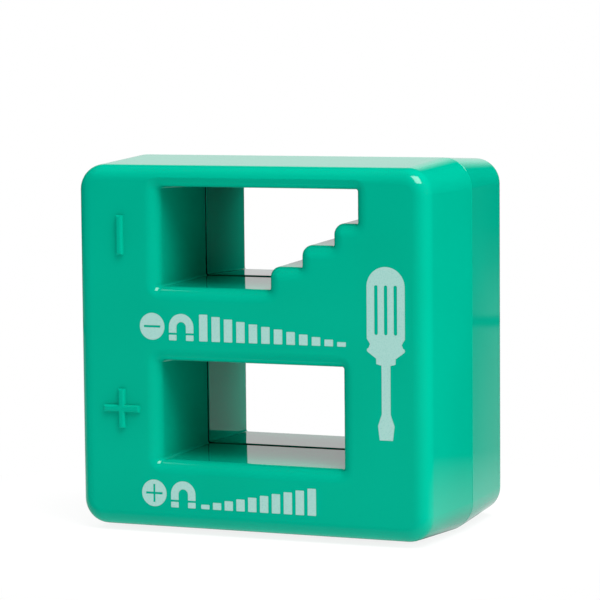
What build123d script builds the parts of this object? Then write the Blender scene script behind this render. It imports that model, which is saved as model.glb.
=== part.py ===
"""Tool magnetizer and demagnetizer: a hollow moulded block with two through windows and two fixed magnets.

Millimetres, +Z up, +Y towards the rear. The origin is the middle of the base edge on the parting plane
Y = 0, where the two half shells meet. A blade wiped through the lower window is magnetized. Wiped over one
of the steps in the upper window, it is demagnetized. Each step holds it at another distance from the magnet.
"""

import os
from math import radians, tan

from build123d import *

# Case, measured on the parting plane, where both halves are largest.
WIDTH = 52.0
HEIGHT = 50.4
HALF_DEPTH = 15.2
CASE_DRAFT = 3.0
CASE_CORNER_R = 4.1
CASE_EDGE_R = 2.1
WALL = 1.6
FACE = 2.0
SEAM_CHAMFER = 0.1

# Windows, measured on the parting plane, where both tunnels are narrowest. Heights are above the base.
TUNNEL_DRAFT = 1.6
TUNNEL_CORNER_R = 0.3
MOUTH_R = 1.75
TUNNEL_SEAM_CHAMFER = 0.25
LINER = 1.2
LINER_GAP = 0.08
WINDOW_LEFT = -12.9
LOWER_RIGHT = 12.7
LOWER_FLOOR = 10.47
LOWER_CEILING = 23.05
UPPER_RIGHT = 14.8
UPPER_FLOOR = 33.9
UPPER_CEILING = 46.43
FLOOR_MISMATCH = 0.15

# Steps in the upper window: treads that climb towards its right side.
STEP_COUNT = 3
STEP_RISE = 2.93
STEP_RUN = 4.55
TOP_TREAD_RUN = 3.35
NOSE_R = 1.3

# Raised polarity marks on the front face.
MARK_X = -18.72
MARK_LENGTH = 5.4
MARK_BAR = 1.0
MARK_HEIGHT = 0.5
MARK_DRAFT = 8.0
MARK_EDGE_R = 0.3
MINUS_Z = 40.32
PLUS_Z = 16.82

# Magnet stacks. Both magnets are plain ferrite blocks, poled through their thickness.
MAGNET_X = 40.0
MAGNET_Y = 25.0
MAGNET_Z = 5.0
MAGNET_CHAMFER = 0.4
PLATE_CORNER_R = 1.0
PLATE_CHAMFER = 0.12
SHUNT_Z = 1.2
KEEPER_Z = 0.8
PAD_X = 26.0
PAD_Y = 20.0
PAD_CORNER_R = 1.5
CENTRE_PAD_Z = 1.0
BASE_PAD_Z = 0.5
CENTRE_SEAT = 24.9
BASE_SEAT = 2.3

# Ribs and bosses inside the shells.
RIB = 1.2
RIB_SETBACK = 0.6
RIB_CLEARANCE = 0.1
ROOT = 0.4
SEAT_RIB_SPACING = 10.0
SEAT_RIB_COUNT = 3
BOSS_R = 2.5
SOCKET_DEPTH = 5.0
PIN_R = 1.25
PIN_CLEARANCE = 0.05
PIN_LENGTH = 4.0
PIN_LEAD = 0.4

# Lap joint that closes the seam: a tongue round the rear shell enters a groove round the front shell.
LAP_INSET = 0.85
LAP_DEPTH = 0.8
LAP_CLEARANCE = 0.05

# Worked out from the dimensions above.
CAVITY_DEPTH = HALF_DEPTH - FACE
MID_Z = HEIGHT / 2
SIDE_WALL = WIDTH / 2 - WALL
LINER_LEFT = WINDOW_LEFT - LINER
LOWER_LINER_RIGHT = LOWER_RIGHT + LINER
UPPER_LINER_RIGHT = UPPER_RIGHT + LINER
FIRST_RISER = UPPER_RIGHT - TOP_TREAD_RUN - (STEP_COUNT - 1) * STEP_RUN
STEPS = [(FIRST_RISER + n * STEP_RUN, UPPER_FLOOR + (n + 1) * STEP_RISE) for n in range(STEP_COUNT)]

KEEPER_SEAT = BASE_SEAT + BASE_PAD_Z
BASE_MAGNET_SEAT = KEEPER_SEAT + KEEPER_Z
SHUNT_SEAT = CENTRE_SEAT + MAGNET_Z
CENTRE_PAD_SEAT = SHUNT_SEAT + SHUNT_Z
HOLD_DOWN_Z = CENTRE_PAD_SEAT + RIB_CLEARANCE
STOP_X = MAGNET_X / 2 + RIB_CLEARANCE
STOP_HEIGHTS = (BASE_MAGNET_SEAT + MAGNET_Z / 2, CENTRE_SEAT + MAGNET_Z / 2)
RIB_END = CAVITY_DEPTH + ROOT

LOWER_BOSS_Z = (BASE_MAGNET_SEAT + MAGNET_Z + CENTRE_SEAT - RIB) / 2
UPPER_BOSS_Z = (HOLD_DOWN_Z + RIB + HEIGHT - WALL) / 2
LEFT_BOSS_X = (LINER_LEFT - SIDE_WALL) / 2
BOSSES = [
    (LEFT_BOSS_X, LOWER_BOSS_Z),
    (LEFT_BOSS_X, UPPER_BOSS_Z),
    ((LOWER_LINER_RIGHT + SIDE_WALL) / 2, LOWER_BOSS_Z),
    ((UPPER_LINER_RIGHT + SIDE_WALL) / 2, UPPER_BOSS_Z),
]


def case_outline(inset: float = 0.0) -> Sketch:
    """The rounded case outline on the parting plane, drawn in by a distance."""
    with BuildSketch(Plane.XZ) as outline:
        with Locations((0, MID_Z)):
            RectangleRounded(WIDTH - 2 * inset, HEIGHT - 2 * inset, CASE_CORNER_R - inset)
    return outline.sketch


def case_ring(outer_inset: float, inner_inset: float) -> Sketch:
    """The strip between two inset case outlines, on the parting plane."""
    with BuildSketch(Plane.XZ) as ring:
        add(case_outline(outer_inset))
        add(case_outline(inner_inset), mode=Mode.SUBTRACT)
    return ring.sketch


def window_corners(floor_drop: float) -> list[list[tuple[float, float]]]:
    """The corners of the lower and the upper window on the parting plane, with the floors let down."""
    low, high = LOWER_FLOOR - floor_drop, UPPER_FLOOR - floor_drop
    lower = [(WINDOW_LEFT, LOWER_CEILING), (WINDOW_LEFT, low)]
    lower += [(LOWER_RIGHT, low), (LOWER_RIGHT, LOWER_CEILING)]
    upper = [(WINDOW_LEFT, UPPER_CEILING), (WINDOW_LEFT, high), (FIRST_RISER, high)]
    for riser_x, tread_z in STEPS[:-1]:
        upper += [(riser_x, tread_z), (riser_x + STEP_RUN, tread_z)]
    upper += [STEPS[-1], (UPPER_RIGHT, STEPS[-1][1]), (UPPER_RIGHT, UPPER_CEILING)]
    return [lower, upper]


def window_outline(corners: list[tuple[float, float]], grow: float = 0.0, start: float = 0.0) -> Sketch:
    """A window outline at a depth before the parting plane, grown outwards by a wall if one is given."""
    with BuildSketch(Plane.XZ.offset(start)) as outline:
        with BuildLine():
            Polyline(*corners, close=True)
        make_face()
        if grow:
            offset(amount=grow, kind=Kind.INTERSECTION)
    return outline.sketch


def span(x_start: float, x_end: float, z_start: float, z_end: float, start: float) -> Sketch:
    """A rectangle at a depth before the parting plane, given its limits in X and height."""
    with BuildSketch(Plane.XZ.offset(start)) as rectangle:
        with Locations(((x_start + x_end) / 2, (z_start + z_end) / 2)):
            Rectangle(abs(x_end - x_start), z_end - z_start)
    return rectangle.sketch


def is_nose(edge: Edge) -> bool:
    """True for the tunnel edge that runs along the nose of a step."""
    spread = HALF_DEPTH / 2 * tan(radians(TUNNEL_DRAFT))
    centre = edge.center()
    return any(
        abs(centre.X - riser - spread) < NOSE_R / 2 and abs(centre.Z - tread + spread) < NOSE_R / 2
        for riser, tread in STEPS
    )


def is_rim(face: Face) -> bool:
    """True for the end face of a liner, just short of the seam."""
    return abs(face.center().Y + LINER_GAP) < LINER_GAP / 2


def window_cutter(corners: list[tuple[float, float]]) -> Part:
    """The open space of a window in the front half: a drafted tunnel that flares out at the face."""
    with BuildPart() as cutter:
        extrude(window_outline(corners), amount=HALF_DEPTH, taper=-TUNNEL_DRAFT)
        runs = cutter.edges().filter_by(lambda edge: -HALF_DEPTH < edge.center().Y < 0)
        fillet(runs - runs.filter_by(is_nose), radius=TUNNEL_CORNER_R)
        mouth = cutter.faces().sort_by(Axis.Y)[0].bounding_box()
        flare = MOUTH_R + ROOT
        left, right = mouth.min.X - flare, mouth.max.X + flare
        extrude(span(left, right, mouth.min.Z - flare, mouth.max.Z + flare, HALF_DEPTH), amount=FACE)
        slab_back = cutter.faces().filter_by(Axis.Y).filter_by(lambda face: face.inner_wires())
        fillet(slab_back.face().inner_wires().edges(), radius=MOUTH_R)
        noses = cutter.edges().filter_by(is_nose)
        if noses:
            fillet(noses, radius=NOSE_R)
    return cutter.part


def half_shell(floor_drop: float) -> Part:
    """What both halves share, modelled as the front half: case, liners, windows, ribs and plain bosses.

    The window floors are let down a little in one half, so that the other half's edge shows at the seam.
    """
    windows = window_corners(floor_drop)
    with BuildPart() as shell:
        # Drafted case, with its front edge rounded and its seam edge barely broken.
        extrude(case_outline(), amount=HALF_DEPTH, taper=CASE_DRAFT)
        fillet(shell.faces().sort_by(Axis.Y)[0].edges(), radius=CASE_EDGE_R)
        chamfer(shell.faces().sort_by(Axis.Y)[-1].edges(), length=SEAM_CHAMFER)
        extrude(case_outline(WALL), amount=CAVITY_DEPTH, taper=CASE_DRAFT, mode=Mode.SUBTRACT)

        # Liners round both windows, held just short of the seam, and the solid bar over the upper window.
        for corners in windows:
            liner = window_outline(corners, grow=LINER, start=LINER_GAP)
            extrude(liner, amount=CAVITY_DEPTH + ROOT - LINER_GAP, taper=-TUNNEL_DRAFT)
        top_bar = span(LINER_LEFT, UPPER_LINER_RIGHT, UPPER_CEILING, HEIGHT - WALL + ROOT, LINER_GAP)
        extrude(top_bar, amount=RIB_END - LINER_GAP)

        # Shelves under the centre magnet, ribs that hold it down, and stops at the ends of both magnets.
        for side, liner in ((-1, -LINER_LEFT), (1, LOWER_LINER_RIGHT)):
            wall = side * (SIDE_WALL + ROOT)
            shelf = span(side * (liner - ROOT), wall, CENTRE_SEAT - RIB, CENTRE_SEAT, RIB_SETBACK)
            extrude(shelf, amount=RIB_END - RIB_SETBACK)
            hold_down = span(side * (liner + ROOT), wall, HOLD_DOWN_Z, HOLD_DOWN_Z + RIB, RIB_SETBACK)
            extrude(hold_down, amount=RIB_END - RIB_SETBACK)
            for height in STOP_HEIGHTS:
                stop = span(side * STOP_X, wall, height - RIB / 2, height + RIB / 2, RIB_SETBACK)
                extrude(stop, amount=RIB_END - RIB_SETBACK)

        # Seat ribs under the base stack, and low ribs on the face that nip both magnets front to rear.
        for index in range(SEAT_RIB_COUNT):
            x = (index - (SEAT_RIB_COUNT - 1) / 2) * SEAT_RIB_SPACING
            seat = span(x - RIB / 2, x + RIB / 2, WALL - ROOT, BASE_SEAT, RIB_SETBACK)
            extrude(seat, amount=RIB_END - RIB_SETBACK)
            for height in STOP_HEIGHTS:
                nip_start = MAGNET_Y / 2 + RIB_CLEARANCE
                nip = span(x - RIB / 2, x + RIB / 2, height - MAGNET_Z / 2, height + MAGNET_Z / 2, nip_start)
                extrude(nip, amount=RIB_END - nip_start)

        with BuildSketch(Plane.XZ):
            with Locations(*BOSSES):
                Circle(BOSS_R)
        extrude(amount=RIB_END)

        # The windows, with the tunnel edges broken where they meet the other half.
        for corners in windows:
            add(window_cutter(corners), mode=Mode.SUBTRACT)
        rims = shell.faces().filter_by(Axis.Y).filter_by(is_rim)
        chamfer([rim.inner_wires().edges() for rim in rims], length=TUNNEL_SEAM_CHAMFER)
    return shell.part


with BuildPart() as front_shell:
    add(half_shell(FLOOR_MISMATCH))

    # Blind sockets for the pins, and the groove for the tongue.
    with BuildSketch(Plane.XZ):
        with Locations(*BOSSES):
            Circle(PIN_R + PIN_CLEARANCE)
    extrude(amount=SOCKET_DEPTH, mode=Mode.SUBTRACT)
    groove = case_ring(LAP_INSET - LAP_CLEARANCE, WALL + LAP_CLEARANCE)
    extrude(groove, amount=LAP_DEPTH + LAP_CLEARANCE, mode=Mode.SUBTRACT)

    # Minus mark beside the demagnetizing window, plus mark beside the magnetizing one.
    with BuildSketch(Plane.XZ.offset(HALF_DEPTH)):
        with Locations((MARK_X, MINUS_Z)):
            Rectangle(MARK_BAR, MARK_LENGTH)
        with Locations((MARK_X, PLUS_Z)):
            Rectangle(MARK_BAR, MARK_LENGTH)
            Rectangle(MARK_LENGTH, MARK_BAR)
    extrude(amount=MARK_HEIGHT, taper=MARK_DRAFT)
    mark_tops = front_shell.faces().filter_by(Axis.Y).group_by(Axis.Y)[0]
    fillet(mark_tops.edges(), radius=MARK_EDGE_R)


with BuildPart() as rear_shell:
    add(mirror(half_shell(floor_drop=0), about=Plane.XZ, mode=Mode.PRIVATE))

    # Locating pins on the bosses, with lead-in chamfers, and the tongue.
    with BuildSketch(Plane.XZ):
        with Locations(*BOSSES):
            Circle(PIN_R)
    extrude(amount=PIN_LENGTH)
    chamfer(rear_shell.faces().group_by(Axis.Y)[0].edges(), length=PIN_LEAD)
    extrude(case_ring(LAP_INSET, WALL), amount=LAP_DEPTH)


def magnet(seat: float) -> Part:
    """A ferrite block that rests at a height, with broken edges."""
    with BuildPart() as block:
        with BuildSketch(Plane.XY.offset(seat)):
            Rectangle(MAGNET_X, MAGNET_Y)
        extrude(amount=MAGNET_Z)
        chamfer(block.edges(), length=MAGNET_CHAMFER)
    return block.part


def plate(seat: float, thickness: float) -> Part:
    """A stamped mild-steel plate as large as a magnet, with rounded corners and deburred edges."""
    with BuildPart() as sheet:
        with BuildSketch(Plane.XY.offset(seat)):
            RectangleRounded(MAGNET_X, MAGNET_Y, PLATE_CORNER_R)
        extrude(amount=thickness)
        chamfer(sheet.faces().filter_by(Axis.Z).edges(), length=PLATE_CHAMFER)
    return sheet.part


def pad(seat: float, thickness: float) -> Part:
    """A strip of foam that takes up the slack over or under a magnet stack."""
    with BuildPart() as foam:
        with BuildSketch(Plane.XY.offset(seat)):
            RectangleRounded(PAD_X, PAD_Y, PAD_CORNER_R)
        extrude(amount=thickness)
    return foam.part


with BuildPart() as centre_magnet:
    add(magnet(CENTRE_SEAT))

with BuildPart() as base_magnet:
    add(magnet(BASE_MAGNET_SEAT))

with BuildPart() as shunt_plate:
    add(plate(SHUNT_SEAT, SHUNT_Z))

with BuildPart() as keeper_plate:
    add(plate(KEEPER_SEAT, KEEPER_Z))

with BuildPart() as centre_pad:
    add(pad(CENTRE_PAD_SEAT, CENTRE_PAD_Z))

with BuildPart() as base_pad:
    add(pad(BASE_SEAT, BASE_PAD_Z))


front_shell.part.label = "front_shell"
rear_shell.part.label = "rear_shell"
centre_magnet.part.label = "centre_magnet"
base_magnet.part.label = "base_magnet"
shunt_plate.part.label = "shunt_plate"
keeper_plate.part.label = "keeper_plate"
centre_pad.part.label = "centre_pad"
base_pad.part.label = "base_pad"

os.makedirs("parts", exist_ok=True)
export_step(front_shell.part, "parts/front_shell.step")
export_step(rear_shell.part, "parts/rear_shell.step")
export_step(centre_magnet.part, "parts/centre_magnet.step")
export_step(base_magnet.part, "parts/base_magnet.step")
export_step(shunt_plate.part, "parts/shunt_plate.step")
export_step(keeper_plate.part, "parts/keeper_plate.step")
export_step(centre_pad.part, "parts/centre_pad.step")
export_step(base_pad.part, "parts/base_pad.step")
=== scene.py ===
from math import cos, pi, radians, sin

import bmesh
import bpy
from mathutils import Matrix, Vector, noise

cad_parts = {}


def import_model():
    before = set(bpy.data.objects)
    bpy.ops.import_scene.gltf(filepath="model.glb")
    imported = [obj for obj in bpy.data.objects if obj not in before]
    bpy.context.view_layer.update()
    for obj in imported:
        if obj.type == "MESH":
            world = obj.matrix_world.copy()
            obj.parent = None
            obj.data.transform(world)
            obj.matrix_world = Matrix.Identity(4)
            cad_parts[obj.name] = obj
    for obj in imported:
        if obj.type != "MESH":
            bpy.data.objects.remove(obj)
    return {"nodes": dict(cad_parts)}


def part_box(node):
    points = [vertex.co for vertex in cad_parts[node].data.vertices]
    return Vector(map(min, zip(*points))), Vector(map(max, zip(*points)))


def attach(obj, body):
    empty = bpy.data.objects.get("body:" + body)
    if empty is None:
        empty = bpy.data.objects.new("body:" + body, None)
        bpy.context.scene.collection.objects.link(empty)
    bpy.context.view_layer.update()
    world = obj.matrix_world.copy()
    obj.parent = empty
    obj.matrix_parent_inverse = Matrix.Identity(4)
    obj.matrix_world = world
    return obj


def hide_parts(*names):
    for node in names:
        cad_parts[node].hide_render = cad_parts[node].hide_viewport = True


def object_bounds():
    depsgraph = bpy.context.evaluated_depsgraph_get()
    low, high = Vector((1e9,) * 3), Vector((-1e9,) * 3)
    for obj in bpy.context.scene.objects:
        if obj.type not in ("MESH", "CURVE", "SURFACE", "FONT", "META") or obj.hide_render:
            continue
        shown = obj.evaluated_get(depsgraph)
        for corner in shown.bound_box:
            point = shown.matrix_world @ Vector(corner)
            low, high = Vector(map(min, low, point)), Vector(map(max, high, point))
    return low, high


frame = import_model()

MM = 0.001
CAD_LOW, CAD_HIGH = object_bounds()

# The front face lies behind the raised marks, and the rear face mirrors it about the seam.
CASE_HALF_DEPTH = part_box("rear_shell")[1].y
FACE_Y = -CASE_HALF_DEPTH


# ---------------------------------------------------------------- node helpers

class Nodes:
    """A small wrapper that adds and links shader nodes in one material or world."""

    def __init__(self, tree):
        self.tree = tree
        self.tree.nodes.clear()

    def add(self, kind, settings=None, **inputs):
        """A node with its properties set from settings, and its sockets from inputs, by name or number."""
        node = self.tree.nodes.new(kind)
        for name, value in (settings or {}).items():
            setattr(node, name, value)
        for name, value in inputs.items():
            socket = node.inputs[int(name[1:])] if name[1:].isdigit() else node.inputs[name.replace("_", " ")]
            if isinstance(value, bpy.types.NodeSocket):
                self.tree.links.new(value, socket)
            else:
                socket.default_value = value
        return node

    def math(self, operation, a, b=0.0, clamp=False):
        return self.add("ShaderNodeMath", {"operation": operation, "use_clamp": clamp}, i0=a, i1=b).outputs[0]

    def mix(self, factor, a, b):
        node = self.add("ShaderNodeMix", {"data_type": "RGBA"}, i0=factor, i6=a, i7=b)
        return node.outputs[2]

    def ramp(self, value, low, high, to_low=0.0, to_high=1.0):
        node = self.add(
            "ShaderNodeMapRange", {"clamp": True}, i0=value, i1=low, i2=high, i3=to_low, i4=to_high
        )
        return node.outputs[0]

    def noise(self, place, size, detail=2.0, roughness=0.5):
        """Noise from 0 to 1 whose features are about one size across, in metres."""
        node = self.add(
            "ShaderNodeTexNoise", Vector=place, Scale=1.0 / size, Detail=detail, Roughness=roughness
        )
        return node.outputs["Fac"]

    def bump(self, height, distance, normal=None):
        inputs = {"Height": height, "Distance": distance, "Strength": 1.0}
        if normal is not None:
            inputs["Normal"] = normal
        return self.add("ShaderNodeBump", **inputs).outputs[0]

    def dot(self, place, toward):
        """How far a place lies along a direction."""
        node = self.add("ShaderNodeVectorMath", {"operation": "DOT_PRODUCT"}, i0=place, i1=toward)
        return node.outputs["Value"]

    def beyond(self, place, azimuth, fade):
        """How far past a straight edge on the floor a place is, from 0 to 1 over the fade."""
        return self.ramp(self.dot(place, direction(azimuth, 0)), *fade)

    def product(self, *factors):
        """The product of several values."""
        total = factors[0]
        for factor in factors[1:]:
            total = self.math("MULTIPLY", total, factor)
        return total

    def weighted(self, values, weights):
        """The sum of named values, each times its weight."""
        total = 0.0
        for name, weight in weights.items():
            total = self.math("ADD", total, self.math("MULTIPLY", values[name], weight))
        return total

    def opposite(self, value):
        """What a value from 0 to 1 lacks to 1."""
        return self.math("SUBTRACT", 1.0, value)

    def surface(self, shader):
        self.add("ShaderNodeOutputMaterial", Surface=shader)


def new_material(name):
    material = bpy.data.materials.new(name)
    material.use_nodes = True
    return material, Nodes(material.node_tree)


def grey(value):
    return (value, value, value, 1.0)


def tint(red, green, blue):
    return (red, green, blue, 1.0)


# ---------------------------------------------------------------- materials

def inside(n, place, low, high):
    """1 where a place lies between two corners in X and height, and 0 elsewhere."""
    x, _, z = n.add("ShaderNodeSeparateXYZ", Vector=place).outputs
    right = n.math("GREATER_THAN", x, low[0])
    left = n.math("LESS_THAN", x, high[0])
    above = n.math("GREATER_THAN", z, low[1])
    below = n.math("LESS_THAN", z, high[1])
    return n.math("MULTIPLY", n.math("MULTIPLY", right, left), n.math("MULTIPLY", above, below))


# The lower and the upper tunnel, each as two corners in X and height.
TUNNELS = (
    ((-13.5 * MM, 9.8 * MM), (13.3 * MM, 23.7 * MM)),
    ((-13.5 * MM, 33.2 * MM), (15.4 * MM, 47.1 * MM)),
)
# Painted shade along the seam inside the tunnels: how far it reaches from the seam, and its near-black colour,
# standing in for shade in the gap between the halves.
SEAM_REACH = (0.24 * MM, 0.27 * MM)
SEAM_SHADE_COLOUR = tint(0.0, 0.02, 0.012)
SHADE_PATCH = 14 * MM
SINK_WAVE = 6.0 * MM
SINK_DEPTH = 0.004 * MM
MOULD_GRAIN = 0.10 * MM
GRAIN_DEPTH = 0.0005 * MM

# Inside the tunnels the grain and the roughness are these shares of what they are outside.
TUNNEL_GRAIN = 0.15
TUNNEL_ROUGHNESS = 0.8


def case_plastic():
    """Jade ABS: glossy, with a very fine mould grain, faint sink waves, a random drift in tone, and painted
    shade along the seam inside the tunnels.
    """
    material, n = new_material("case_plastic")
    place = n.add("ShaderNodeTexCoord").outputs["Object"]
    drift = n.ramp(n.noise(place, SHADE_PATCH, detail=1.0), 0.3, 0.7)
    colour = n.mix(drift, tint(0.0, 0.322, 0.208), tint(0.0, 0.338, 0.220))
    lower, upper = (inside(n, place, low, high) for low, high in TUNNELS)
    tunnel = n.math("ADD", lower, upper, clamp=True)
    off_seam = n.math("ABSOLUTE", n.add("ShaderNodeSeparateXYZ", i0=place).outputs["Y"])
    # Painted shade: near the seam inside the tunnels the colour goes near black, standing in for shade in the
    # gap between the halves.
    seam = n.math("MULTIPLY", tunnel, n.ramp(off_seam, *SEAM_REACH, 1.0, 0.0))
    colour = n.mix(seam, colour, SEAM_SHADE_COLOUR)
    waves = n.noise(place, SINK_WAVE, detail=1.0)
    grain = n.noise(place, MOULD_GRAIN, detail=2.0)
    grain_height = n.math("MULTIPLY", grain, n.ramp(tunnel, 0.0, 1.0, 1.0, TUNNEL_GRAIN))
    normal = n.bump(grain_height, GRAIN_DEPTH, n.bump(waves, SINK_DEPTH))
    polish = n.ramp(tunnel, 0.0, 1.0, 1.0, TUNNEL_ROUGHNESS)
    roughness = n.math("MULTIPLY", n.ramp(grain, 0.25, 0.75, 0.045, 0.065), polish)
    shader = n.add("ShaderNodeBsdfPrincipled", Base_Color=colour, Roughness=roughness, IOR=1.5, Normal=normal)
    n.surface(shader.outputs[0])
    return material


INK_MOTTLE = 0.16 * MM
INK_DEPTH = 0.004 * MM


def print_ink():
    """Pale pad-print ink: matt, with a fine mottle where the film is thin and lets a little green through."""
    material, n = new_material("print_ink")
    place = n.add("ShaderNodeTexCoord").outputs["Object"]
    mottle = n.noise(place, INK_MOTTLE, detail=3.0, roughness=0.7)
    thin = n.ramp(mottle, 0.50, 0.72)
    colour = n.mix(thin, tint(0.295, 0.52, 0.475), tint(0.20, 0.44, 0.39))
    normal = n.bump(mottle, INK_DEPTH)
    shader = n.add(
        "ShaderNodeBsdfPrincipled", Base_Color=colour, Roughness=0.55, IOR=1.45, Normal=normal
    )
    n.surface(shader.outputs[0])
    return material


GRINDING_MARK = 0.12 * MM
GRINDING_DEPTH = 0.004 * MM
FERRITE_GRAIN = 0.35 * MM
PORE_DEPTH = 0.01 * MM


def ferrite():
    """Sintered hard ferrite: dark grey, ground, with pores and a faint grinding direction."""
    material, n = new_material("ferrite")
    place = n.add("ShaderNodeTexCoord").outputs["Object"]
    along = n.add("ShaderNodeMapping", Vector=place, Scale=(0.06, 1.0, 1.0)).outputs[0]
    scratches = n.noise(along, GRINDING_MARK, detail=4.0, roughness=0.7)
    grains = n.noise(place, FERRITE_GRAIN, detail=4.0, roughness=0.65)
    pores = n.ramp(grains, 0.62, 0.72)
    shade = n.mix(scratches, grey(0.028), grey(0.05))
    colour = n.mix(pores, shade, grey(0.01))
    normal = n.bump(scratches, GRINDING_DEPTH, n.bump(grains, PORE_DEPTH))
    roughness = n.ramp(pores, 0.0, 1.0, 0.45, 0.8)
    shader = n.add(
        "ShaderNodeBsdfPrincipled", Base_Color=colour, Roughness=roughness, Metallic=0.15, Normal=normal
    )
    n.surface(shader.outputs[0])
    return material


ROLLING_LINE = 0.08 * MM
ROLLING_DEPTH = 0.003 * MM
OIL_STAIN = 5 * MM


def mild_steel():
    """Cold-rolled sheet: grey metal with fine rolling lines and a few dull oil stains."""
    material, n = new_material("mild_steel")
    place = n.add("ShaderNodeTexCoord").outputs["Object"]
    along = n.add("ShaderNodeMapping", Vector=place, Scale=(0.03, 1.0, 1.0)).outputs[0]
    lines = n.noise(along, ROLLING_LINE, detail=3.0, roughness=0.7)
    stains = n.ramp(n.noise(place, OIL_STAIN, detail=4.0), 0.5, 0.75)
    colour = n.mix(stains, n.mix(lines, grey(0.42), grey(0.55)), tint(0.33, 0.31, 0.28))
    roughness = n.math("ADD", n.ramp(lines, 0.2, 0.8, 0.28, 0.42), n.math("MULTIPLY", stains, 0.12))
    shader = n.add(
        "ShaderNodeBsdfPrincipled",
        Base_Color=colour,
        Metallic=1.0,
        Roughness=roughness,
        Normal=n.bump(lines, ROLLING_DEPTH),
    )
    n.surface(shader.outputs[0])
    return material


FOAM_PORE = 0.35 * MM
FOAM_PORE_DEPTH = 0.05 * MM


def foam():
    """Closed-cell foam strip: matt black with cut cells."""
    material, n = new_material("foam")
    place = n.add("ShaderNodeTexCoord").outputs["Object"]
    cells = n.add("ShaderNodeTexVoronoi", Vector=place, Scale=1.0 / FOAM_PORE).outputs["Distance"]
    colour = n.mix(n.ramp(cells, 0.1, 0.6), grey(0.006), grey(0.03))
    shader = n.add(
        "ShaderNodeBsdfPrincipled", Base_Color=colour, Roughness=0.9, Normal=n.bump(cells, FOAM_PORE_DEPTH)
    )
    n.surface(shader.outputs[0])
    return material


CASE_PLASTIC = case_plastic()
PRINT_INK = print_ink()
FERRITE = ferrite()
MILD_STEEL = mild_steel()
FOAM = foam()

NODE_MATERIALS = {
    "front_shell": CASE_PLASTIC,
    "rear_shell": CASE_PLASTIC,
    "centre_magnet": FERRITE,
    "base_magnet": FERRITE,
    "shunt_plate": MILD_STEEL,
    "keeper_plate": MILD_STEEL,
    "centre_pad": FOAM,
    "base_pad": FOAM,
}
for node, material in NODE_MATERIALS.items():
    frame["nodes"][node].data.materials[0] = material


# ---------------------------------------------------------------- printed marks

# Places and sizes of the print in mm, as X and height on the front face.
INK = 0.03
CORNER_STEPS = 5
CURVE_STEPS = 24
DISC_X = -14.1
DISC_R = 1.82
SIGN_LENGTH = 2.45
SIGN_BAR = 0.3
ROW_HEIGHT = 3.6
ROW_LEFT = -11.6
UPPER_ROW_Z = 28.1
UPPER_ROW_RIGHT = 13.9
LOWER_ROW_Z = 5.5
LOWER_ROW_RIGHT = 9.5
MAGNET_LEG = 1.1
MAGNET_TIP = 0.75
INK_GAP = 0.28
BAR = 1.2
SHORTEST_BAR = 0.6
BAR_OFFSET = 0.85
FIRST_BAR = ROW_LEFT + ROW_HEIGHT + BAR_OFFSET
FADING_BARS = 12
GROWING_BARS = 10
SLAB_CORNER_R = 0.08

# The screwdriver points down. Tuples give a half width first, then distances along it from the flange or tip.
SCREWDRIVER_X = 19.5
SCREWDRIVER_TOP = 36.9
SCREWDRIVER_TIP = 14.2
HANDLE = 2.65
HANDLE_END = 1.6
NECK = (2.2, 0.9)
FLANGE_DROP = 11.0
FLANGE_CURL = (0.3, 0.1)
FLANGE_CURL_TURN = (80, -60)
COLLAR = (1.35, 1.0, 1.7)
SHAFT = (0.62, 1.9, 3.4)
BLADE = (1.15, 1.9)
BLADE_TIP = 0.8

# Grooves in the handle: their places across it, and each one's half width, end distances and corner radius.
GROOVES = (-1.35, 0, 1.35)
GROOVE = (0.24, 2.1, 2.4, 0.23)


def arc(x, z, radius, start, end, steps=CORNER_STEPS):
    """Points along a circle from one angle to another, in degrees from +X towards +Z."""
    turns = [radians(start + (end - start) * step / steps) for step in range(steps + 1)]
    return [(x + radius * cos(turn), z + radius * sin(turn)) for turn in turns]


def slab(left, right, low, high, radius=SLAB_CORNER_R):
    """A rectangle with small round corners, as ink leaves them."""
    loop = arc(right - radius, high - radius, radius, 0, 90)
    loop += arc(left + radius, high - radius, radius, 90, 180)
    loop += arc(left + radius, low + radius, radius, 180, 270)
    return loop + arc(right - radius, low + radius, radius, 270, 360)


def disc(x, z, radius):
    return arc(x, z, radius, 0, 360, 2 * CURVE_STEPS)[:-1]


def minus_sign(x, z):
    return slab(x - SIGN_LENGTH / 2, x + SIGN_LENGTH / 2, z - SIGN_BAR / 2, z + SIGN_BAR / 2)


def plus_sign(x, z):
    """A thin plus sign as one closed outline, from one of its arms turned three times."""
    reach, side = SIGN_LENGTH / 2, SIGN_BAR / 2
    loop = []
    for turn in range(4):
        c, s = round(cos(turn * pi / 2)), round(sin(turn * pi / 2))
        for dx, dz in ((reach, side), (side, side), (side, reach)):
            loop.append((x + dx * c - dz * s, z + dx * s + dz * c))
    return loop


def magnet(left, z):
    """A horseshoe magnet that opens downwards, with its two pole tips set apart."""
    outer = ROW_HEIGHT / 2
    inner = outer - MAGNET_LEG
    x, low = left + outer, z - outer
    leg_end = low + MAGNET_TIP + INK_GAP
    body = [(x + outer, leg_end)] + arc(x, z, outer, 0, 180, CURVE_STEPS) + [(x - outer, leg_end)]
    body += [(x - inner, leg_end)] + arc(x, z, inner, 180, 0, CURVE_STEPS) + [(x + inner, leg_end)]
    tips = [slab(side, side + MAGNET_LEG, low, low + MAGNET_TIP) for side in (left, x + inner)]
    return [body] + tips


def bars(left, right, z, first, last, count):
    """Upright bars on one base line, whose height runs from first to last."""
    low = z - ROW_HEIGHT / 2
    loops = []
    for index in range(count):
        share = index / (count - 1)
        x = left + share * (right - left - BAR)
        loops.append(slab(x, x + BAR, low, low + first + share * (last - first)))
    return loops


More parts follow.
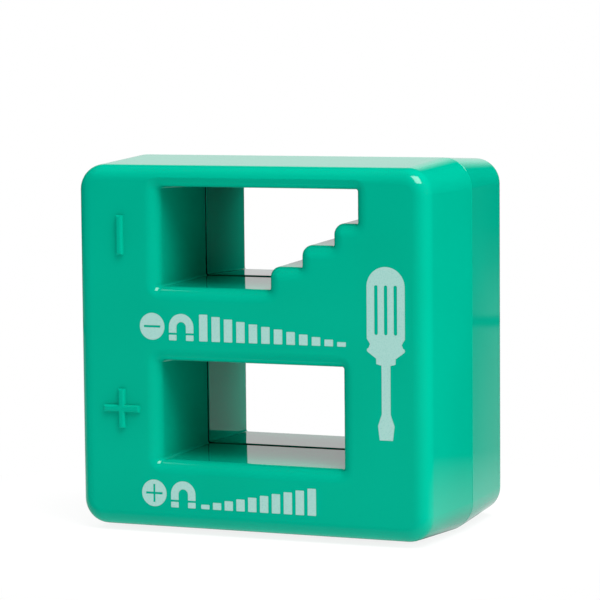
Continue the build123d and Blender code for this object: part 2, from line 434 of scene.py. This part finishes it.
def screwdriver(x, top, tip):
    """A screwdriver that points down: a grooved handle with a flange, a collar, a shaft and a flat blade."""
    flange = top - FLANGE_DROP
    curl, curl_up = FLANGE_CURL
    neck, neck_up = NECK
    collar, collar_start, collar_end = COLLAR
    shaft, shaft_start, shaft_end = SHAFT
    blade, blade_up = BLADE
    right = arc(x, top - HANDLE, HANDLE, 90, 0, CURVE_STEPS)
    right += [(x + HANDLE, flange + HANDLE_END), (x + neck, flange + neck_up)]
    right += arc(x + HANDLE - curl, flange + curl_up, curl, *FLANGE_CURL_TURN)
    right += [(x + collar, flange - collar_start), (x + collar, flange - collar_end)]
    right += [(x + shaft, flange - shaft_start), (x + shaft, tip + shaft_end)]
    right += [(x + blade, tip + blade_up), (x + BLADE_TIP * blade, tip)]
    left = [(2 * x - px, pz) for px, pz in reversed(right[1:])]
    half, above_flange, below_top, radius = GROOVE
    low, high = flange + above_flange, top - below_top
    grooves = [slab(x + side - half, x + side + half, low, high, radius) for side in GROOVES]
    return [right + left] + grooves


def print_mark(name, loops):
    """A thin film of ink on the front face, filled between its outer and inner outlines."""
    shape = bmesh.new()
    for loop in loops:
        corners = [shape.verts.new((x * MM, FACE_Y, z * MM)) for x, z in loop]
        for here, after in zip(corners, corners[1:] + corners[:1]):
            shape.edges.new((here, after))
    bmesh.ops.triangle_fill(shape, use_beauty=True, use_dissolve=False, edges=shape.edges[:])
    film = bmesh.ops.extrude_face_region(shape, geom=shape.faces[:])
    raised = [part for part in film["geom"] if isinstance(part, bmesh.types.BMVert)]
    bmesh.ops.translate(shape, verts=raised, vec=(0, -INK * MM, 0))
    bmesh.ops.recalc_face_normals(shape, faces=shape.faces[:])
    return new_piece(name, shape, PRINT_INK)


def new_piece(name, shape, material):
    """A finished mesh as a piece that rides on the case."""
    mesh = bpy.data.meshes.new(name)
    shape.to_mesh(mesh)
    shape.free()
    mesh.materials.append(material)
    piece = bpy.data.objects.new(name, mesh)
    bpy.context.scene.collection.objects.link(piece)
    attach(piece, "root")
    return piece


print_mark("print_minus_disc", [disc(DISC_X, UPPER_ROW_Z, DISC_R), minus_sign(DISC_X, UPPER_ROW_Z)])
print_mark("print_plus_disc", [disc(DISC_X, LOWER_ROW_Z, DISC_R), plus_sign(DISC_X, LOWER_ROW_Z)])
fading = bars(FIRST_BAR, UPPER_ROW_RIGHT, UPPER_ROW_Z, ROW_HEIGHT, SHORTEST_BAR, FADING_BARS)
print_mark("print_fading_field", magnet(ROW_LEFT, UPPER_ROW_Z) + fading)
growing = bars(FIRST_BAR, LOWER_ROW_RIGHT, LOWER_ROW_Z, SHORTEST_BAR, ROW_HEIGHT, GROWING_BARS)
print_mark("print_growing_field", magnet(ROW_LEFT, LOWER_ROW_Z) + growing)
print_mark("print_screwdriver", screwdriver(SCREWDRIVER_X, SCREWDRIVER_TOP, SCREWDRIVER_TIP))


# ---------------------------------------------------------------- foam pads

FOAM_CELL = 0.45
FOAM_CORNER_R = 1.5
FOAM_BULGE = 0.22
FOAM_PITS = 0.07
FOAM_LAYERS = 4


def foam_pad(name, node):
    """A strip of foam squeezed between flat parts: round corners, bulged sides and pits where cells are cut."""
    low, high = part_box(node)
    size = [(high[axis] - low[axis]) / MM for axis in range(3)]
    half = [length / 2 for length in size]
    counts = [round(size[0] / FOAM_CELL), round(size[1] / FOAM_CELL), FOAM_LAYERS]
    middle = (low + high) / 2

    def place(index):
        x, y, z = (2 * index[axis] / counts[axis] - 1 for axis in range(3))
        inset = FOAM_BULGE * z * z
        spot = Vector((x * (half[0] - inset), y * (half[1] - inset), z * half[2]))
        corner = Vector((abs(spot.x) - half[0] + FOAM_CORNER_R, abs(spot.y) - half[1] + FOAM_CORNER_R))
        if corner.x > 0 and corner.y > 0:
            corner *= max(corner) / corner.length
            spot.x = (half[0] - FOAM_CORNER_R + corner.x) * (1 if x > 0 else -1)
            spot.y = (half[1] - FOAM_CORNER_R + corner.y) * (1 if y > 0 else -1)
        pit = FOAM_PITS * (0.5 + 0.5 * noise.noise(spot / FOAM_CELL))
        inward = Vector((-x if abs(x) == 1 else 0, -y if abs(y) == 1 else 0, -z if abs(z) == 1 else 0))
        return middle + (spot + pit * inward.normalized()) * MM

    shape = bmesh.new()
    corners = {}
    for i in range(counts[0] + 1):
        for j in range(counts[1] + 1):
            for k in range(counts[2] + 1):
                if i in (0, counts[0]) or j in (0, counts[1]) or k in (0, counts[2]):
                    corners[i, j, k] = shape.verts.new(place((i, j, k)))
    for axis in range(3):
        across, along = (axis + 1) % 3, (axis + 2) % 3
        for level in (0, counts[axis]):
            for a in range(counts[across]):
                for b in range(counts[along]):
                    ring = []
                    for da, db in ((0, 0), (1, 0), (1, 1), (0, 1)):
                        index = [0, 0, 0]
                        index[axis], index[across], index[along] = level, a + da, b + db
                        ring.append(corners[tuple(index)])
                    shape.faces.new(ring)
    bmesh.ops.recalc_face_normals(shape, faces=shape.faces[:])
    for face in shape.faces:
        face.smooth = True
    piece = new_piece(name, shape, FOAM)
    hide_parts(node)


foam_pad("centre_pad_foam", "centre_pad")
foam_pad("base_pad_foam", "base_pad")


# ---------------------------------------------------------------- stage, light and camera

def direction(azimuth, elevation):
    """A unit vector from the case, by azimuth from the front towards the right, and elevation, in degrees."""
    a, e = radians(azimuth), radians(elevation)
    return Vector((sin(a) * cos(e), -cos(a) * cos(e), sin(e)))


# The floor glows in zones. The case reflects only the paper zones, the backdrop and the key light.
LIGHT_TABLE = {"front": 1.65, "ahead": 1.83}
PAPER = {"sheet": 2.1, "beside": 0.5, "far": 0.02}
FLOOR_HALF = 3.0
FLOOR_SHADE = 0.9

# Where the zones fade, as distances from the middle of the case, or past its sides for the floor under it.
UNDER_CASE = (-0.004, -0.002)
NEAR = (0.035, 0.085)
SHEET_FADE = (0.085, 0.45)
SHEET_END = (0.42, 0.60)
SHEET_GAP = ((0.270, 0.274), (0.294, 0.298))
TABLE_FRONT_END = (0.08, 0.13)
TABLE_AHEAD_END = (0.4, 0.6)
FAR_START = (0.40, 0.48)
CONTACT_SHADOW = (0.02, 0.06)
SHADOW_WHITENESS = 0.85

# How bright the sheet is at the start and the end of its near and its far fade.
SHEET_NEAR_LEVEL = (0.38, 0.17)
SHEET_FAR_LEVEL = (1.0, 0.15)

# Straight edges of the zones: a direction square to each edge, and the fade across it.
IN_FRONT = (0, (0.005, 0.02))
SHEET_SIDE = (256.8, (-0.005, 0.005))
FAR_SIDE = (246, (-0.01, 0.01))
SHEET_EDGE = (25.5 * MM, 0.0, 0.0)


def floor_zones(n, place):
    """Where the floor glows for every ray but the camera's: a light table in front, and paper behind."""
    distance = n.add("ShaderNodeVectorMath", {"operation": "LENGTH"}, i0=place).outputs["Value"]
    from_edge = n.add("ShaderNodeVectorMath", {"operation": "SUBTRACT"}, i0=place, i1=SHEET_EDGE)
    in_front = n.beyond(place, *IN_FRONT)
    on_sheet = n.beyond(from_edge.outputs["Vector"], *SHEET_SIDE)
    behind, off_sheet = n.opposite(in_front), n.opposite(on_sheet)
    spot = n.add("ShaderNodeSeparateXYZ", i0=place).outputs
    past_side = n.math("SUBTRACT", n.math("ABSOLUTE", spot["X"]), CAD_HIGH.x)
    past_face = n.math("SUBTRACT", n.math("ABSOLUTE", spot["Y"]), CAD_HIGH.y)
    clear = n.ramp(n.math("MAXIMUM", past_side, past_face), *UNDER_CASE)
    gap_start, gap_end = SHEET_GAP
    falling = n.product(
        n.ramp(distance, *NEAR, *SHEET_NEAR_LEVEL),
        n.ramp(distance, *SHEET_FADE, *SHEET_FAR_LEVEL),
        n.ramp(distance, *SHEET_END, 1.0, 0.0),
        n.math("MAXIMUM", n.ramp(distance, *gap_start, 1.0, 0.0), n.ramp(distance, *gap_end)),
    )
    return {
        "front": n.product(clear, in_front, n.ramp(distance, *TABLE_FRONT_END, 1.0, 0.0)),
        "ahead": n.product(
            in_front, n.ramp(distance, *TABLE_FRONT_END), n.ramp(distance, *TABLE_AHEAD_END, 1.0, 0.0)
        ),
        "beside": n.product(clear, behind, off_sheet, n.ramp(distance, *NEAR, 1.0, 0.0)),
        "sheet": n.product(clear, behind, on_sheet, falling),
        "far": n.product(behind, off_sheet, n.ramp(distance, *FAR_START), n.beyond(place, *FAR_SIDE)),
    }


def stage_plane(name, corners, material):
    """A flat piece of the studio through four corners."""
    mesh = bpy.data.meshes.new(name)
    mesh.from_pydata(corners, [], [(0, 1, 2, 3)])
    mesh.materials.append(material)
    plane = bpy.data.objects.new(name, mesh)
    bpy.context.scene.collection.objects.link(plane)
    return plane


def floor():
    """A wide pale floor, white to the camera but for a faint shadow round the case."""
    material, n = new_material("floor_paper")
    place = n.add("ShaderNodeTexCoord").outputs["Object"]
    ray = n.add("ShaderNodeLightPath").outputs
    zones = floor_zones(n, place)
    table = n.math("MULTIPLY", n.weighted(zones, LIGHT_TABLE), n.opposite(ray["Is Glossy Ray"]))
    glow = n.math("ADD", table, n.weighted(zones, PAPER))
    glowing = n.add("ShaderNodeEmission", Color=grey(1.0), Strength=glow)
    distance = n.add("ShaderNodeVectorMath", {"operation": "LENGTH"}, i0=place).outputs["Value"]
    paper = n.add("ShaderNodeBsdfDiffuse", Color=grey(FLOOR_SHADE))
    white = n.add("ShaderNodeEmission", Color=grey(1.0))
    whiteness = n.ramp(distance, *CONTACT_SHADOW, SHADOW_WHITENESS, 1.0)
    seen = n.add("ShaderNodeMixShader", i0=whiteness, i1=paper.outputs[0], i2=white.outputs[0])
    shown = n.add("ShaderNodeMixShader", i0=ray["Is Camera Ray"], i1=glowing.outputs[0], i2=seen.outputs[0])
    n.surface(shown.outputs[0])
    far = FLOOR_HALF
    corners = [(-far, -far), (far, -far), (far, far), (-far, far)]
    stage_plane("floor", [(x, y, CAD_LOW.z) for x, y in corners], material)


# A low black louvre behind the case. It shuts for rays within about ten degrees of the way it faces.
FLAG_LEFT = 11 * MM
FLAG_RIGHT = 31 * MM
FLAG_Y = 60 * MM
FLAG_HEIGHT = 12 * MM
FLAG_FACES = (-27, 4)
FLAG_SHUTS = (0.985, 0.990)


def flag():
    """Keeps the sheet's reflection out of the front half of the lower tunnel. Only reflections see it."""
    material, n = new_material("flag_louvre")
    incoming = n.add("ShaderNodeNewGeometry").outputs["Incoming"]
    clear = n.add("ShaderNodeBsdfTransparent")
    black = n.add("ShaderNodeBsdfDiffuse", Color=grey(0.0))
    shut = n.ramp(n.dot(incoming, direction(*FLAG_FACES)), *FLAG_SHUTS)
    n.surface(n.add("ShaderNodeMixShader", i0=shut, i1=clear.outputs[0], i2=black.outputs[0]).outputs[0])
    low, high = CAD_LOW.z, CAD_LOW.z + FLAG_HEIGHT
    corners = [(FLAG_LEFT, low), (FLAG_RIGHT, low), (FLAG_RIGHT, high), (FLAG_LEFT, high)]
    louvre = stage_plane("flag", [(x, FLAG_Y, z) for x, z in corners], material)
    louvre.visible_camera = False
    louvre.visible_diffuse = False
    louvre.visible_shadow = False
    louvre.visible_transmission = False


LIGHT_SIZE = 0.6
LIGHT_DISTANCE = 1.0

# Each light's azimuth and elevation, and its watts.
KEY_LIGHT = ((47, 53), 8.0)
TOP_LIGHT = ((70, 66), 6.6)


def area_light(name, place, watts, in_reflections):
    """A soft square light in a direction from the case, turned towards it."""
    data = bpy.data.lights.new(name, "AREA")
    data.shape = "SQUARE"
    data.size = LIGHT_SIZE
    data.energy = watts
    light = bpy.data.objects.new(name, data)
    toward = direction(*place)
    light.location = Vector((0, 0, CAD_HIGH.z / 2)) + LIGHT_DISTANCE * toward
    light.rotation_mode = "QUATERNION"
    light.rotation_quaternion = (-toward).to_track_quat("-Z", "Y")
    light.visible_camera = False
    light.visible_glossy = in_reflections
    bpy.context.scene.collection.objects.link(light)


# Soft banks of light far away: azimuth, elevation, the cosine where each starts and is full, and strength.
BACKDROP = (203, 6, 0.90, 0.97, 0.78)
BANKS = ((105, 8, 0.80, 1.00, 4.71), (80, 8, 0.80, 1.00, 1.82), (-100, 62, 0.80, 1.00, 3.64))


def bank(n, toward, azimuth, elevation, start, full, strength):
    """A soft round patch of light on the world, full in its middle."""
    return n.ramp(n.dot(toward, direction(azimuth, elevation)), start, full, 0.0, strength)


def world():
    """White to the camera. To the case, a bright backdrop, and soft banks that don't show as reflections."""
    shade = bpy.data.worlds.new("studio")
    shade.use_nodes = True
    n = Nodes(shade.node_tree)
    toward = n.add("ShaderNodeTexCoord").outputs["Generated"]
    ray = n.add("ShaderNodeLightPath").outputs
    banks = 0.0
    for settings in BANKS:
        banks = n.math("ADD", banks, bank(n, toward, *settings))
    banks = n.math("MULTIPLY", banks, n.opposite(ray["Is Glossy Ray"]))
    level = n.math("ADD", banks, bank(n, toward, *BACKDROP))
    strength = n.ramp(ray["Is Camera Ray"], 0.0, 1.0, level, 1.0)
    background = n.add("ShaderNodeBackground", Color=grey(1.0), Strength=strength)
    n.add("ShaderNodeOutputWorld", Surface=background.outputs[0])
    bpy.context.scene.world = shade


AZIMUTH = 22.84
ELEVATION = 5.44
ROLL = radians(-0.506)
DISTANCE = 0.4017
AIM = Vector((1.06 * MM, 0.0, (CAD_LOW.z + CAD_HIGH.z) / 2 + 5.49 * MM))
SENSOR = 36.0
LENS = 176.1


def camera():
    """The camera, placed by azimuth, elevation and roll about the point it aims at."""
    back = direction(AZIMUTH, ELEVATION)
    right = (-back).cross(Vector((0, 0, 1))).normalized()
    up = back.cross(right)
    turned_right = cos(ROLL) * right + sin(ROLL) * up
    turned_up = -sin(ROLL) * right + cos(ROLL) * up
    data = bpy.data.cameras.new("camera")
    data.sensor_width = SENSOR
    data.lens = LENS
    data.clip_start = 0.01
    data.clip_end = 20.0
    eye = bpy.data.objects.new("camera", data)
    turn = Matrix((turned_right, turned_up, back)).transposed().to_4x4()
    eye.matrix_world = Matrix.Translation(AIM + DISTANCE * back) @ turn
    bpy.context.scene.collection.objects.link(eye)
    bpy.context.scene.camera = eye


floor()
flag()
world()
area_light("key", *KEY_LIGHT, in_reflections=True)
area_light("top", *TOP_LIGHT, in_reflections=False)
camera()
bpy.context.scene.view_settings.view_transform = "Standard"
